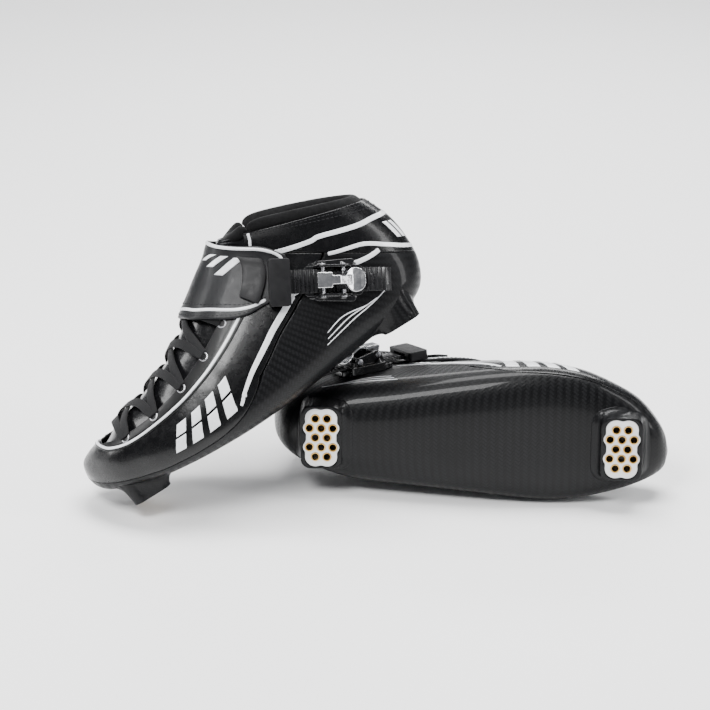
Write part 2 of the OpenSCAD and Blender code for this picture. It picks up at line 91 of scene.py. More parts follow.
class Paint:
    """A material built node by node; every texture is laid in metres."""

    def __init__(self, name, uv=False, **sockets):
        self.material = bpy.data.materials.new(name)
        self.material.use_nodes = True
        self.tree = self.material.node_tree
        self.shader = self.tree.nodes["Principled BSDF"]
        self.set(self.shader, sockets)
        self.where = self.put("TexCoord").outputs["UV" if uv else "Object"]

    def set(self, node, sockets):
        for name, value in sockets.items():
            socket = node.inputs[int(name[1:]) if name[0] == "_" else name.replace("_", " ")]
            if isinstance(value, bpy.types.NodeSocket):
                self.tree.links.new(value, socket)
            else:
                socket.default_value = value

    def put(self, kind, props=None, **sockets):
        node = self.tree.nodes.new("ShaderNode" + kind)
        for key, value in (props or {}).items():
            setattr(node, key, value)
        self.set(node, sockets)
        return node

    def math(self, operation, a, b=0.0, c=0.0):
        return self.put("Math", {"operation": operation}, _0=a, _1=b, _2=c).outputs[0]

    def noise(self, scale, detail=3.0, rough=0.5):
        return self.put("TexNoise", Vector=self.where, Scale=scale, Detail=detail, Roughness=rough).outputs[0]

    def between(self, value, low, high, start=0.0, end=1.0):
        return self.put("MapRange", Value=value, From_Min=start, From_Max=end, To_Min=low, To_Max=high).outputs[0]

    def tint(self, value, dark, light, start=0.3, end=0.7):
        share = self.between(value, 0.0, 1.0, start, end)
        mixer = self.put("Mix", {"data_type": "RGBA"}, _0=share, _6=(*dark, 1), _7=(*light, 1))
        self.tree.links.new(mixer.outputs[2], self.shader.inputs["Base Color"])

    def bump(self, height, distance, strength=1.0, under=None):
        node = self.put("Bump", Strength=strength, Distance=distance, Height=height)
        if under is not None:
            self.tree.links.new(under, node.inputs["Normal"])
        self.tree.links.new(node.outputs[0], self.shader.inputs["Normal"])
        return node.outputs[0]


def leather(name, dark, light, rough, grain=0.00005, coat=0.2):
    p = Paint(name, Specular_IOR_Level=0.24, Coat_Weight=coat, Coat_Roughness=0.12)
    p.tint(p.noise(38.0, 4.0), dark, light)
    cells = p.put("TexVoronoi", {"feature": "DISTANCE_TO_EDGE"}, Vector=p.where, Scale=1150.0).outputs[0]
    pores = p.noise(2600.0, 2.0)
    folds = p.noise(52.0, 3.0)
    soft = p.bump(folds, 0.0012, 0.4)
    height = p.math("ADD", p.between(cells, 0.0, 1.0, 0.0, 0.25), p.math("MULTIPLY", pores, 0.5))
    p.bump(height, grain, 0.5, soft)
    p.set(p.shader, {"Roughness": p.between(p.noise(220.0, 4.0), rough - 0.06, rough + 0.1, 0.3, 0.7)})
    return p.material


def twill(name, tow=0.0021):
    """A 2x2 twill: a tow passes over two and under two, one step further in each row."""
    p = Paint(name, uv=True, Specular_IOR_Level=0.13, Coat_Weight=0.13, Coat_Roughness=0.06)
    turned = p.put("Mapping", Vector=p.where, Rotation=(0, 0, rad(45)), Scale=(1 / tow, 1 / tow, 1 / tow))
    axes = p.put("SeparateXYZ", Vector=turned.outputs[0]).outputs
    x, y = axes[0], axes[1]
    step = p.math("ADD", p.math("FLOOR", x), p.math("FLOOR", y))
    phase = p.math("FLOORED_MODULO", step, 4.0)
    warp = p.math("LESS_THAN", phase, 1.5)
    fx = p.math("FRACT", x)
    fy = p.math("FRACT", y)
    crown_x = p.math("SINE", p.math("MULTIPLY", fx, math.pi))
    crown_y = p.math("SINE", p.math("MULTIPLY", fy, math.pi))
    crown = p.math("ADD", p.math("MULTIPLY", warp, crown_x),
                   p.math("MULTIPLY", p.math("SUBTRACT", 1.0, warp), crown_y))
    fibre_a = p.put("TexWave", {"wave_type": "BANDS", "bands_direction": "X"}, Vector=turned.outputs[0], Scale=2.4,
                    Distortion=0.6, Detail=1.0).outputs[1]
    fibre_b = p.put("TexWave", {"wave_type": "BANDS", "bands_direction": "Y"}, Vector=turned.outputs[0], Scale=2.4,
                    Distortion=0.6, Detail=1.0).outputs[1]
    fibres = p.math("ADD", p.math("MULTIPLY", warp, fibre_a),
                    p.math("MULTIPLY", p.math("SUBTRACT", 1.0, warp), fibre_b))
    # Painted sheen and painted shade: the warp tows are painted brighter than the weft tows, and each tow is painted
    # brighter on its crown and darker at its edges, where the weave's grooves lie in shade.
    painted_tow_light = p.math("MULTIPLY", p.math("ADD", p.math("MULTIPLY", warp, 0.45), 0.4), p.math("ADD", crown, 0.35))
    # A random cloudy tone is laid over the painted sheen and shade of the tows.
    painted_tow_light_and_mottle = p.math("MULTIPLY", painted_tow_light, p.between(p.noise(14.0, 3.0), 0.65, 1.3, 0.3, 0.7))
    p.tint(painted_tow_light_and_mottle, (0.0007, 0.0007, 0.0009), (0.0062, 0.0064, 0.0072), 0.0, 1.1)
    p.set(p.shader, {"Roughness": p.between(warp, 0.34, 0.46)})
    p.bump(p.math("ADD", crown, p.math("MULTIPLY", fibres, 0.16)), 0.00011, 0.55)
    return p.material


def plastic(name, dark, light, rough, coat=0.0, grain=0.00003, spec=0.5):
    p = Paint(name, Specular_IOR_Level=spec, Coat_Weight=coat, Coat_Roughness=0.12)
    p.tint(p.noise(60.0, 4.0), dark, light)
    p.bump(p.noise(3200.0, 2.0), grain, 0.5)
    p.set(p.shader, {"Roughness": p.between(p.noise(300.0, 4.0), rough - 0.05, rough + 0.08, 0.3, 0.7)})
    return p.material


def metal(name, dark, light, rough, brushed=True):
    p = Paint(name, Metallic=1.0)
    p.tint(p.noise(90.0, 4.0), dark, light)
    lines = p.put("Mapping", Vector=p.where, Scale=(2400, 260, 900))
    scratches = p.put("TexNoise", Vector=lines.outputs[0], Scale=1.0, Detail=3.0).outputs[0]
    p.bump(scratches if brushed else p.noise(700.0, 3.0), 0.000018, 0.45)
    p.set(p.shader, {"Roughness": p.between(p.noise(420.0, 5.0), rough - 0.06, rough + 0.1, 0.3, 0.7)})
    return p.material


def fabric(name, dark, light, scale=1500.0, sheen=0.5, loop=0.00016):
    p = Paint(name, Specular_IOR_Level=0.2, Sheen_Weight=sheen, Sheen_Roughness=0.45)
    p.tint(p.noise(130.0, 5.0), dark, light)
    loops = p.put("TexVoronoi", {"feature": "SMOOTH_F1"}, Vector=p.where, Scale=scale).outputs[0]
    fuzz = p.noise(scale * 1.6, 4.0, 0.7)
    p.bump(p.math("ADD", p.math("MULTIPLY", loops, -0.8), fuzz), loop, 0.7)
    p.set(p.shader, {"Roughness": p.between(p.noise(500.0, 4.0), 0.8, 0.98, 0.3, 0.7)})
    return p.material


def woven_lace(name):
    """Flat lace: fine ribs along it and a small slanted weave, laid in the ribbon's own length and width."""
    p = Paint(name, uv=True, Specular_IOR_Level=0.2, Sheen_Weight=0.04, Sheen_Roughness=0.4)
    axes = p.put("SeparateXYZ", Vector=p.where).outputs
    ribs = p.math("ABSOLUTE", p.math("SINE", p.math("MULTIPLY", axes[1], math.pi / 0.00085)))
    slant = p.math("ADD", p.math("MULTIPLY", axes[0], 6800.0), p.math("MULTIPLY", ribs, 1.8))
    picks = p.math("ABSOLUTE", p.math("SINE", p.math("MULTIPLY", slant, 0.5)))
    height = p.math("ADD", p.math("MULTIPLY", ribs, 0.7), p.math("MULTIPLY", picks, 0.5))
    # Painted shade: the lace is painted lighter on its raised ribs and picks and darker in the grooves between them,
    # with a random tone mixed in.
    p.tint(p.math("ADD", p.math("MULTIPLY", height, 0.6), p.math("MULTIPLY", p.noise(400.0, 3.0), 0.4)),
           (0.0008, 0.0008, 0.001), (0.0075, 0.0076, 0.0085), 0.1, 1.0)
    p.bump(height, 0.00022, 0.9)
    p.set(p.shader, {"Roughness": p.between(height, 0.85, 0.62)})
    return p.material


MATERIALS = {
    "carbon": twill("carbon_twill"),
    "leather": leather("coated_leather", (0.0012, 0.0012, 0.0015), (0.0026, 0.0027, 0.0032), 0.25),
    "strap_leather": leather("strap_leather", (0.004, 0.0042, 0.005), (0.0075, 0.0078, 0.009), 0.4, 0.00007, 0.05),
    "facing_leather": leather("facing_leather", (0.0012, 0.0012, 0.0014), (0.0025, 0.0025, 0.003),
                              0.34, 0.00006, 0.08),
    "tongue_leather": leather("tongue_leather", (0.003, 0.003, 0.0035), (0.006, 0.006, 0.007), 0.22, 0.00004, 0.3),
    "lining": fabric("collar_knit", (0.001, 0.001, 0.0012), (0.0035, 0.0035, 0.004), sheen=0.07),
    "insole_foam": fabric("insole_cover", (0.006, 0.006, 0.007), (0.014, 0.014, 0.016), 900.0, 0.1),
    "lace_cord": woven_lace("woven_lace"),
    "thread": fabric("sewing_thread", (0.005, 0.005, 0.006), (0.016, 0.016, 0.018), 4200.0, 0.15, loop=0.00005),
    "trim_silver": plastic("silver_film", (0.66, 0.67, 0.69), (0.86, 0.87, 0.89), 0.26, 0.3, 0.000012, 0.7),
    "plate_white": plastic("plate_satin", (0.7, 0.7, 0.69), (0.82, 0.82, 0.81), 0.36, 0.1, 0.00002),
    "brass_insert": metal("turned_brass", (0.42, 0.23, 0.06), (0.78, 0.5, 0.17), 0.24),
    "moulded_plastic": plastic("moulded_black", (0.0035, 0.0035, 0.004), (0.0065, 0.0065, 0.0075),
                               0.45, 0.0, 0.00005, 0.25),
    "ladder_plastic": plastic("ladder_urethane", (0.004, 0.004, 0.0045), (0.008, 0.008, 0.009), 0.28, 0.2, spec=0.4),
    "buckle_plastic": plastic("buckle_nylon", (0.0025, 0.0025, 0.003), (0.006, 0.006, 0.007), 0.2, 0.4, spec=0.4),
    "polished_steel": metal("polished_lever", (0.56, 0.56, 0.57), (0.78, 0.78, 0.79), 0.17, False),
    "steel": metal("plated_steel", (0.34, 0.34, 0.36), (0.55, 0.55, 0.57), 0.26),
}

p = Paint("studio_floor", Specular_IOR_Level=0.2)
p.tint(p.noise(3.0, 2.0), (0.93, 0.93, 0.93), (0.94, 0.94, 0.94))
p.set(p.shader, {"Roughness": p.between(p.noise(30.0, 2.0), 0.62, 0.7)})
sheet = bpy.data.meshes.new("floor")
ground = bmesh.new()
bmesh.ops.create_grid(ground, x_segments=8, y_segments=8, size=9.0)
ground.to_mesh(sheet)
floor = bpy.data.objects.new("floor", sheet)
floor.location = (0, 0, -0.0002)
sheet.materials.append(p.material)
bpy.context.scene.collection.objects.link(floor)

# ---------- the boot's surface, in millimetres, as in the CAD ----------

# Each row: x and z of the sole's middle, x and z of the top's middle, y of the middle, half width, share of the
# height below the widest line, and how square the outline is below and above that line. Rows run toe to ankle.
SECTIONS = np.array([
    [289, 27, 289, 29, -12, 1, 0.5, 2, 2], [286.5, 19.5, 286.5, 38, -11, 12, 0.47, 2.1, 2],
    [280, 13.5, 279, 43.5, -7.5, 21.5, 0.44, 2.3, 2], [267, 9, 266, 48.5, -3, 32, 0.4, 2.6, 2],
    [250, 5.5, 248, 54, 0, 40, 0.36, 2.9, 2], [229, 3, 225, 60, 2.5, 47, 0.32, 3.1, 2],
    [200, 1, 202, 69, 3.5, 50.5, 0.3, 3.2, 2], [165, 0, 183, 80, 3.5, 49, 0.32, 3.2, 2],
    [125, 2, 166, 92, 2, 46, 0.36, 3.2, 2], [85, 6, 151, 103, -0.5, 43, 0.4, 3.1, 2.1],
    [52, 9.5, 141, 110, -2, 40, 0.42, 3.1, 2.2], [30, 12, 134, 115, -2, 37, 0.44, 2.8, 2.2],
    [11, 20.5, 129, 119, -2, 34.5, 0.46, 2.4, 2.2], [2, 36, 126, 122, -2, 33, 0.48, 2.3, 2.2],
    [0, 55, 123, 124.5, -2, 32.2, 0.5, 2.2, 2.2], [3, 76, 120, 126.5, -2, 32, 0.5, 2.2, 2.2],
    [12, 97, 117, 128, -2, 32.5, 0.5, 2.2, 2.2]])
SPANS = len(SECTIONS) - 1
# u runs from 0 at the toe to 1 at the ankle's rim, and v once round the boot from the middle of the sole.
THROAT = [[0, 0.45], [0.18, 0.45], [0.2, 0.41], [0.24, 0.378], [0.3, 0.374], [1, 0.368]]
CARBON = [[0, 0.2], [0.3, 0.185], [0.4, 0.19], [0.44, 0.215], [0.47, 0.245], [0.55, 0.264], [0.66, 0.272],
          [0.78, 0.262], [0.85, 0.245]]
# The strap's toe-side edge, ankle-side edge and height off the leather, each along v.
STRAP_LOW = [[0.3, 0.645], [0.312, 0.59], [0.335, 0.555], [0.365, 0.535], [0.43, 0.503], [0.5, 0.487]]
STRAP_HIGH = [[0.3, 0.82], [0.312, 0.86], [0.335, 0.885], [0.38, 0.888], [0.44, 0.89], [0.5, 0.905]]
STRAP_RISE = [[0.3, 0.7], [0.345, 0.9], [0.39, 3.2], [0.5, 3.4]]
STRAP_T = 2.2
EYELETS = [0.25, 0.32, 0.39, 0.46, 0.53]
CUFF_U = 27 / 32        # seam between the sides and the ankle leather
THROAT_U = 6 / 32       # toe end of the throat
SEAM = 0.0012           # half the gap between two pieces that meet, in u or v
LEATHER_UNDER = -1.8    # underside of the leather
EYELET_V = (0.3645, 0.6355)


def mix(a, b, t):
    return a + (b - a) * t


def unit(a):
    return a / np.maximum(np.linalg.norm(a, axis=-1, keepdims=True), 1e-12)


def along(table, t):
    """Catmull-Rom through a table's rows; t counts rows."""
    table = np.asarray(table, float)
    t = np.asarray(t, float)
    last = len(table) - 1
    i = np.clip(np.floor(t).astype(int), 0, last - 1)
    f = (t - i)[..., None]
    a, b, c, d = (table[np.clip(i + k, 0, last)] for k in (-1, 0, 1, 2))
    return 0.5 * (2 * b + (c - a) * f + (2 * a - 5 * b + 4 * c - d) * f * f + (3 * b - 3 * c + d - a) * f ** 3)


def look(table, u, soft=0.0):
    """A table's value at u, with its corners rounded over soft."""
    t = np.asarray(table)
    return sum(np.interp(np.asarray(u) + soft * k, t[:, 0], t[:, 1]) for k in (-1, -0.5, 0, 0.5, 1)) / 5


def skin(u, v):
    """The point of the boot's outer surface at u, v."""
    s = along(SECTIONS, np.clip(u, 0, 1) * SPANS)
    a, b = -np.cos(2 * np.pi * v), np.sin(2 * np.pi * v)
    p = 2 / np.where(a < 0, s[..., 7], s[..., 8])
    up = np.sign(a) * np.abs(a) ** p
    k = s[..., 6]
    t = np.where(up < 0, k * (1 + up), k + (1 - k) * up)
    return np.stack([mix(s[..., 0], s[..., 2], t), s[..., 4] + s[..., 5] * np.sign(b) * np.abs(b) ** p,
                     mix(s[..., 1], s[..., 3], t)], -1)


EPS = 0.0006


def run(u, v):
    """The surface's direction along u."""
    return (skin(np.minimum(1, u + EPS), v) - skin(np.maximum(0, u - EPS), v)) / (
        np.minimum(1, u + EPS) - np.maximum(0, u - EPS))[..., None]


def girth(u, v):
    """The surface's direction along v."""
    return (skin(u, v + EPS) - skin(u, v - EPS)) / (2 * EPS)


def normal(u, v):
    return unit(np.cross(run(u, v), girth(u, v)))


def at(u, v, d):
    """The point d out from the surface at u, v."""
    u, v = np.broadcast_arrays(np.asarray(u, float), np.asarray(v, float))
    return skin(u, v) + np.asarray(d)[..., None] * normal(u, v)


PHASES = np.random.default_rng(7).uniform(0, 6.28, (9, 4))


def ripple(points, wave):
    """A gentle uneven swell over points, from -1 to 1, about wave millimetres long."""
    total = np.zeros(points.shape[:-1])
    for px, py, pz, ph in PHASES:
        way = np.array([math.cos(px) * 1.3, math.sin(py) * 1.2, math.cos(pz)])
        total += np.sin(points @ way * (2 * math.pi / wave) + ph)
    return total / 5


SWELL = 0.14       # height of the leather's uneven swell
SWELL_WAVE = 34


def swelling(points):
    """What everything on the leather rises by, so that films and threads stay on it."""
    return SWELL * ripple(points, SWELL_WAVE)


# ---------- mesh helpers ----------

LEFT = (Matrix.Translation((51.6, 13.3, 135)) @ Matrix.Rotation(rad(16.1), 4, "Z")
        @ Matrix.Rotation(rad(-27.8), 4, "Y") @ Matrix.Rotation(rad(-19.3), 4, "X")
        @ Matrix.Rotation(rad(180), 4, "Z"))
RIGHT = (Matrix.Translation((-77.1, -40.5, 49.78)) @ Matrix.Rotation(rad(-3), 4, "Z")
         @ Matrix.Rotation(rad(-95), 4, "X") @ Matrix.Diagonal((1, -1, 1, 1)))
PLACES = {"left": np.array(LEFT), "right": np.array(RIGHT)}


def finish_mesh(obj, points_uv=None, flat_angle=None):
    """Faces outward, smooth shading, and texture positions from one (u, v) per vertex."""
    mesh = bmesh.new()
    mesh.from_mesh(obj.data)
    bmesh.ops.recalc_face_normals(mesh, faces=mesh.faces)
    mesh.to_mesh(obj.data)
    mesh.free()
    obj.data.polygons.foreach_set("use_smooth", [True] * len(obj.data.polygons))
    if points_uv is not None:
        layer = obj.data.uv_layers.new(name="UVMap")
        corners = np.zeros(len(obj.data.loops), int)
        obj.data.loops.foreach_get("vertex_index", corners)
        layer.data.foreach_set("uv", np.asarray(points_uv, np.float32)[corners].ravel())
    if flat_angle:
        obj.data.set_sharp_from_angle(angle=rad(flat_angle))


def add(name, part, paint, body="boot", stands_for=()):
    """Puts one piece, made once in the boot's frame, on both boots. part is (points, faces, uv)."""
    points, faces, uv = part
    for side in ("left", "right"):
        place = PLACES[side]
        world = (points @ place[:3, :3].T + place[:3, 3]) * MM
        mesh = bpy.data.meshes.new(f"{side}_{name}")
        mesh.from_pydata(world.tolist(), [], faces)
        obj = bpy.data.objects.new(f"{side}_{name}", mesh)
        bpy.context.scene.collection.objects.link(obj)
        mesh.materials.append(MATERIALS[paint])
        finish_mesh(obj, uv)
        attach(obj, f"{side}_{body}")
        if stands_for:
            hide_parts(*[f"{side}_{n}" for n in stands_for])


LIPS = (0, 0.1, 0.25, 0.5, 0.9, 1.5)   # distances from a sheet's edge that get a row of their own


def spread(n, length):
    """About n + 1 even places from 0 to 1, with extra ones close to both ends for the rolled edges."""
    lips = np.array(LIPS) / length
    return np.concatenate([lips, np.linspace(lips[-1], 1 - lips[-1], n + 1)[1:-1], 1 - lips[::-1]])


def used_only(points, faces, uv):
    """Drops the points that no face uses."""
    flat = np.concatenate([np.asarray(f).ravel() for f in faces])
    keep, back = np.unique(flat, return_inverse=True)
    out, k = [], 0
    for f in faces:
        n = f.size
        out += back[k:k + n].reshape(f.shape).tolist()
        k += n
    return points[keep], out, uv[keep]


def solid(U, V, top, under, keep=None, roll=0.8, swell=False):
    """A closed sheet on the surface between two offsets, its outer edges rolled over."""
    rows, cols = U.shape
    has = np.zeros((rows + 1, cols + 1), bool)
    has[1:-1, 1:-1] = True if keep is None else keep
    base = skin(U, V)
    out = normal(U, V)
    ii, jj = np.nonzero(has[1:-1, 1:-1])
    a = ii * cols + jj
    b, c, d = a + 1, a + cols + 1, a + cols
    rims = [(~has[ii, jj + 1], a, b), (~has[ii + 2, jj + 1], c, d), (~has[ii + 1, jj], d, a),
            (~has[ii + 1, jj + 2], b, c)]
    rim = np.unique(np.concatenate([np.concatenate([p[m], q[m]]) for m, p, q in rims]))
    flat = base.reshape(-1, 3)
    gap = np.full(len(flat), 1e9)
    for part in np.array_split(rim, max(1, len(rim) // 60)):
        gap = np.minimum(gap, np.linalg.norm(flat[:, None] - flat[None, part], axis=2).min(1))
    gap = gap.reshape(rows, cols)
    inset = np.clip(roll - gap, 0, roll)
    drop = roll - np.sqrt(np.maximum(roll * roll - inset * inset, 0))
    rise = swelling(base) if swell else 0
    outer = base + (top - drop + rise)[..., None] * out
    inner = base + (np.zeros_like(U) + under)[..., None] * out
    n = rows * cols
    faces = [np.stack([a, d, c, b], 1), np.stack([a, b, c, d], 1) + n]
    for m, p, q in rims:
        faces.append(np.stack([p[m], q[m], q[m] + n, p[m] + n], 1))
    steps_u = np.linalg.norm(np.diff(base, axis=0), axis=2)
    steps_v = np.linalg.norm(np.diff(base, axis=1), axis=2)
    mid = cols // 2
    run_mm = np.concatenate([[0], np.cumsum(steps_u[:, mid])])[:, None] + np.zeros_like(U)
    round_mm = np.concatenate([np.zeros((rows, 1)), np.cumsum(steps_v, axis=1)], 1)
    round_mm = round_mm - round_mm[:, mid:mid + 1]
    uv = np.stack([run_mm, round_mm], -1).reshape(-1, 2) * MM
    return used_only(np.concatenate([outer.reshape(-1, 3), inner.reshape(-1, 3)]), faces, np.concatenate([uv, uv]))


def ringed(rings, closed=False, caps=True):
    """A closed solid through rings of points, as (points, faces, uv)."""
    rings = np.asarray(rings, float)
    m, n = rings.shape[:2]
    i, j = np.meshgrid(np.arange(m if closed else m - 1), np.arange(n), indexing="ij")
    a = i * n + j
    b = i * n + (j + 1) % n
    c = ((i + 1) % m) * n + (j + 1) % n
    d = ((i + 1) % m) * n + j
    faces = np.stack([a, b, c, d], -1).reshape(-1, 4).tolist()
    if caps and not closed:
        faces += [list(range(n))[::-1], list(range((m - 1) * n, m * n))]
    step = np.concatenate([[0], np.cumsum(np.linalg.norm(np.diff(rings.mean(1), axis=0), axis=1))])
    across = rings - rings.mean(1, keepdims=True)
    side = unit(across[:, 0])
    uv = np.stack([np.repeat(step, n), np.einsum("mnk,mk->mn", across, side).ravel()], -1) * MM
    return rings.reshape(-1, 3), faces, uv


def joined(parts):
    """Several (points, faces, uv) as one."""
    points, faces, uvs, k = [], [], [], 0
    for p, f, u in parts:
        points.append(p)
        faces += [[x + k for x in q] for q in f]
        uvs.append(u)
        k += len(p)
    return np.concatenate(points), faces, np.concatenate(uvs)


def ribbon(path, steps, thick, crown=0.0, ends=True, swell=True):
    """A band that follows the surface along a path of (u, v, width, offset). crown rounds its back."""
    path = np.asarray(path, float)
    q = along(path, np.linspace(0, len(path) - 1, steps + 1))
    u, v, width, lift = q.T
    mids = skin(u, v)
    ahead = unit(np.gradient(mids, axis=0))
    side = unit(np.cross(normal(u, v), ahead))
    a, b = run(u, v), girth(u, v)
    aa, ab, bb = (a * a).sum(-1), (a * b).sum(-1), (b * b).sum(-1)
    sa, sb = (a * side).sum(-1), (b * side).sum(-1)
    det = aa * bb - ab * ab
    du, dv = (sa * bb - sb * ab) / det, (sb * aa - sa * ab) / det
    shape = [(-1, 0.0), (-1, 0.55), (-0.93, 0.9), (-0.8, 1), (-0.4, 1), (0, 1), (0.4, 1), (0.8, 1), (0.93, 0.9),
             (1, 0.55), (1, 0.0), (0.5, 0), (-0.5, 0)]
    rings = []
    taper = np.ones(steps + 1)
    if ends:
        taper[[0, -1]] = 0.7
    for c, h in shape:
        half = c * width / 2 * taper
        hump = crown * max(0.0, 1 - c * c) if h > 0.8 else 0
        uu, vv = u + du * half, v + dv * half
        wave = swelling(skin(uu, vv)) if swell else 0
        rings.append(at(uu, vv, lift + h * thick + hump + wave))
    return ringed(np.stack(rings, 1))


def trail(path, steps=400):
    """Points of a path of (u, v, ..., offset) evenly along its length, with normals."""
    q = along(np.asarray(path, float), np.linspace(0, len(path) - 1, steps + 1))
    u, v, lift = q[:, 0], q[:, 1], q[:, -1]
    return at(u, v, lift + swelling(skin(u, v))), normal(u, v)


def stitches(path, pitch=3.3, length=2.5, radius=0.27):
    """A row of sewn stitches along a path of (u, v, offset), each a bowed bit of thread."""
    points, outs = trail(path)
    run_mm = np.concatenate([[0], np.cumsum(np.linalg.norm(np.diff(points, axis=0), axis=1))])
    count = int(run_mm[-1] // pitch)
    parts = []
    for k in range(count):
        mids, radii = [], []
        for f in (0, 0.12, 0.3, 0.5, 0.7, 0.88, 1):
            s = (k + 0.5) * pitch + (f - 0.5) * length
            place = np.array([np.interp(s, run_mm, points[:, n]) for n in range(3)])
            out = unit(np.array([np.interp(s, run_mm, outs[:, n]) for n in range(3)]))
            mids.append(place + out * (0.34 * math.sin(math.pi * f) - 0.16))
            radii.append(radius * (0.45 + 0.55 * math.sin(math.pi * f) ** 0.5 if 0 < f < 1 else 0.35))
        mids = np.array(mids)
        ahead = unit(mids[-1] - mids[0])
        side = unit(np.cross(out, ahead))
        rings = [[m + r * (side * math.cos(a) + out * math.sin(a)) for a in np.linspace(0, 2 * math.pi, 7)[:-1]]
                 for m, r in zip(mids, radii)]
        parts.append(ringed(rings))
    return joined(parts)


# ---------- carbon shell ----------

s = spread(150, 320)[:, None]
t = spread(84, 110)[None, :]
U = CUFF_U * s + 0 * t
reach = look(CARBON, U, 0.02) - SEAM
add("sole_shell", solid(U, mix(-reach, reach, t), 0, -2, roll=0.35), "carbon", stands_for=["carbon_shell"])


def on_sole(x, y, u0, d):
    """Points under x, y on the sole, d out from it. Near the heel's end x stops changing with u, and a few lose
    their way there."""
    u = np.full(x.shape, u0)
    for _ in range(30):
        s = along(SECTIONS, np.clip(u, 0, 1) * SPANS)
        q = (y - s[..., 4]) / s[..., 5]
        v = np.arcsin(np.clip(np.sign(q) * np.abs(q) ** (s[..., 7] / 2), -1, 1)) / (2 * np.pi)
        ahead, behind = (along(SECTIONS, np.clip(u + e, 0, 1) * SPANS)[..., 0] for e in (0.01, -0.01))
        u = u + 0.7 * (x - skin(u, v)[..., 0]) / ((ahead - behind) / 0.02)
    return at(u, v, np.full(x.shape, d))


RING_POINTS = 180


def rounded(wide, long, r, arc=12):
    """A rounded rectangle's outline round the origin."""
    points = []
    for q, (sx, sy) in enumerate(((1, 1), (-1, 1), (-1, -1), (1, -1))):
        for a in np.linspace(90 * q, 90 * q + 90, arc):
            points.append((sx * (wide / 2 - r) + r * math.cos(rad(a)), sy * (long / 2 - r) + r * math.sin(rad(a))))
    points = np.array(points + points[:1])
    length = np.concatenate([[0], np.cumsum(np.linalg.norm(np.diff(points, axis=0), axis=1))])
    even = np.linspace(0, length[-1], RING_POINTS, endpoint=False)
    return np.column_stack([np.interp(even, length, points[:, k]) for k in (0, 1)])


PLATE_W, PLATE_L, PLATE_T, PLATE_GAP = 26.5, 44.5, 3.2, 0.15
PITCH_X, PITCH_Y = 8.5, 8.5 * math.sqrt(3) / 2
PLATE_BODY = (11, 15)
LOBES = ((PITCH_X, PITCH_Y, PLATE_W / 2 - PITCH_X), (PITCH_X / 2, 2 * PITCH_Y, PLATE_L / 2 - 2 * PITCH_Y))


def plate_reach(angle):
    """The plate's wavy edge: a waisted body with a lobe round each corner hole and each end hole."""
    total = 0
    for turn in (-rad(3), 0, rad(3)):
        c, s = np.abs(np.cos(angle + turn)), np.abs(np.sin(angle + turn))
        far = np.minimum(PLATE_BODY[0] / np.maximum(c, 0.001), PLATE_BODY[1] / np.maximum(s, 0.001))
        for x, y, r in LOBES:
            d = c * x + s * y
            h = r * r - x * x - y * y + d * d
            far = np.maximum(far, np.where(h > 0, d + np.sqrt(np.maximum(h, 0)), 0))
        total = total + far / 3
    return total


def fairing(x, z, u0, toe_side, heel_side, sides):
    """A mounting block that flares smoothly into the sole, with its plate's pocket."""
    def flat(grow, r, height, wavy=False):
        ring = rounded(PLATE_W + grow, PLATE_L + grow, r)
        if wavy:
            reach = plate_reach(np.arctan2(ring[:, 1], ring[:, 0])) + grow / 2
            ring = unit(ring) * reach[:, None]
        return np.column_stack([x + ring[:, 0], ring[:, 1], np.full(len(ring), height)])
    rim = flat(3.4, 7, z + 0.5)
    foot = rounded(PLATE_W + 2, PLATE_L + 2 * sides, 14)
    foot[:, 0] += x + np.where(foot[:, 0] > 0, toe_side, -heel_side) * np.clip(np.abs(foot[:, 0]) / 8, 0, 1)
    root = on_sole(foot[:, 0], foot[:, 1], u0, -0.05)
    corner = mix(rim, root, 0.16)
    corner[:, 2] = mix(rim[:, 2], root[:, 2], 0.86)
    rings = [flat(2 * PLATE_GAP, 6, z + PLATE_T + 2 * PLATE_GAP, True), flat(2 * PLATE_GAP, 6, z + 0.25, True),
             flat(2 * PLATE_GAP + 0.5, 6.2, z, True), flat(3, 6.9, z), flat(3.3, 7, z + 0.2), rim]
    for f in np.linspace(0, 1, 12)[1:]:
        rings.append((1 - f) ** 2 * rim + 2 * f * (1 - f) * corner + f * f * root)
    middle = foot.mean(0)
    for f, d in ((0.97, -0.6), (0.66, -0.6), (0.33, -0.6)):
        inner = middle + (foot - middle) * f
        rings.append(on_sole(inner[:, 0], inner[:, 1], u0, d))
    points, faces, uv = ringed(rings)
    outward = unit(points[:, :2] - (x, 0))
    return points, faces, (points[:, :2] + outward * (points[:, 2:] - z)) * MM


add("front_fairing", fairing(254, -3.5, 0.25, 8, 8, 7), "carbon", stands_for=["front_block"])
add("rear_fairing", fairing(37, 6.5, 0.67, 9, 5, 6), "carbon", stands_for=["rear_block"])

# ---------- leather upper ----------


def throat(u):
    """v of the throat's edge."""
    return look(THROAT, u, 0.02)


def edge_low(u):
    """v of the leather's edge along the carbon."""
    return look(CARBON, u, 0.02) + SEAM


s = spread(170, 320)[:, None]
side_t, top_t = spread(46, 75), spread(30, 60)
U = (CUFF_U - SEAM) * s + np.zeros((1, 2 * len(side_t) + len(top_t) - 2))
column = np.concatenate([side_t, 1 + top_t[1:], 2 + side_t[1:]])[None, :]
low, high = edge_low(U), throat(U)
V = np.where(column <= 1, mix(low, high, column),
             np.where(column <= 2, mix(high, 1 - high, column - 1), mix(1 - high, 1 - low, column - 2)))
centre_u = (U[:-1, :-1] + U[1:, :-1]) / 2
centre_c = (column[:, :-1] + column[:, 1:]) / 2
keep = (centre_u < THROAT_U) | (centre_c < 1) | (centre_c > 2)
add("upper_leather", solid(U, V, 0, LEATHER_UNDER, keep, roll=0.7, swell=True), "leather",
    stands_for=["vamp", "lateral_quarter", "medial_quarter"])

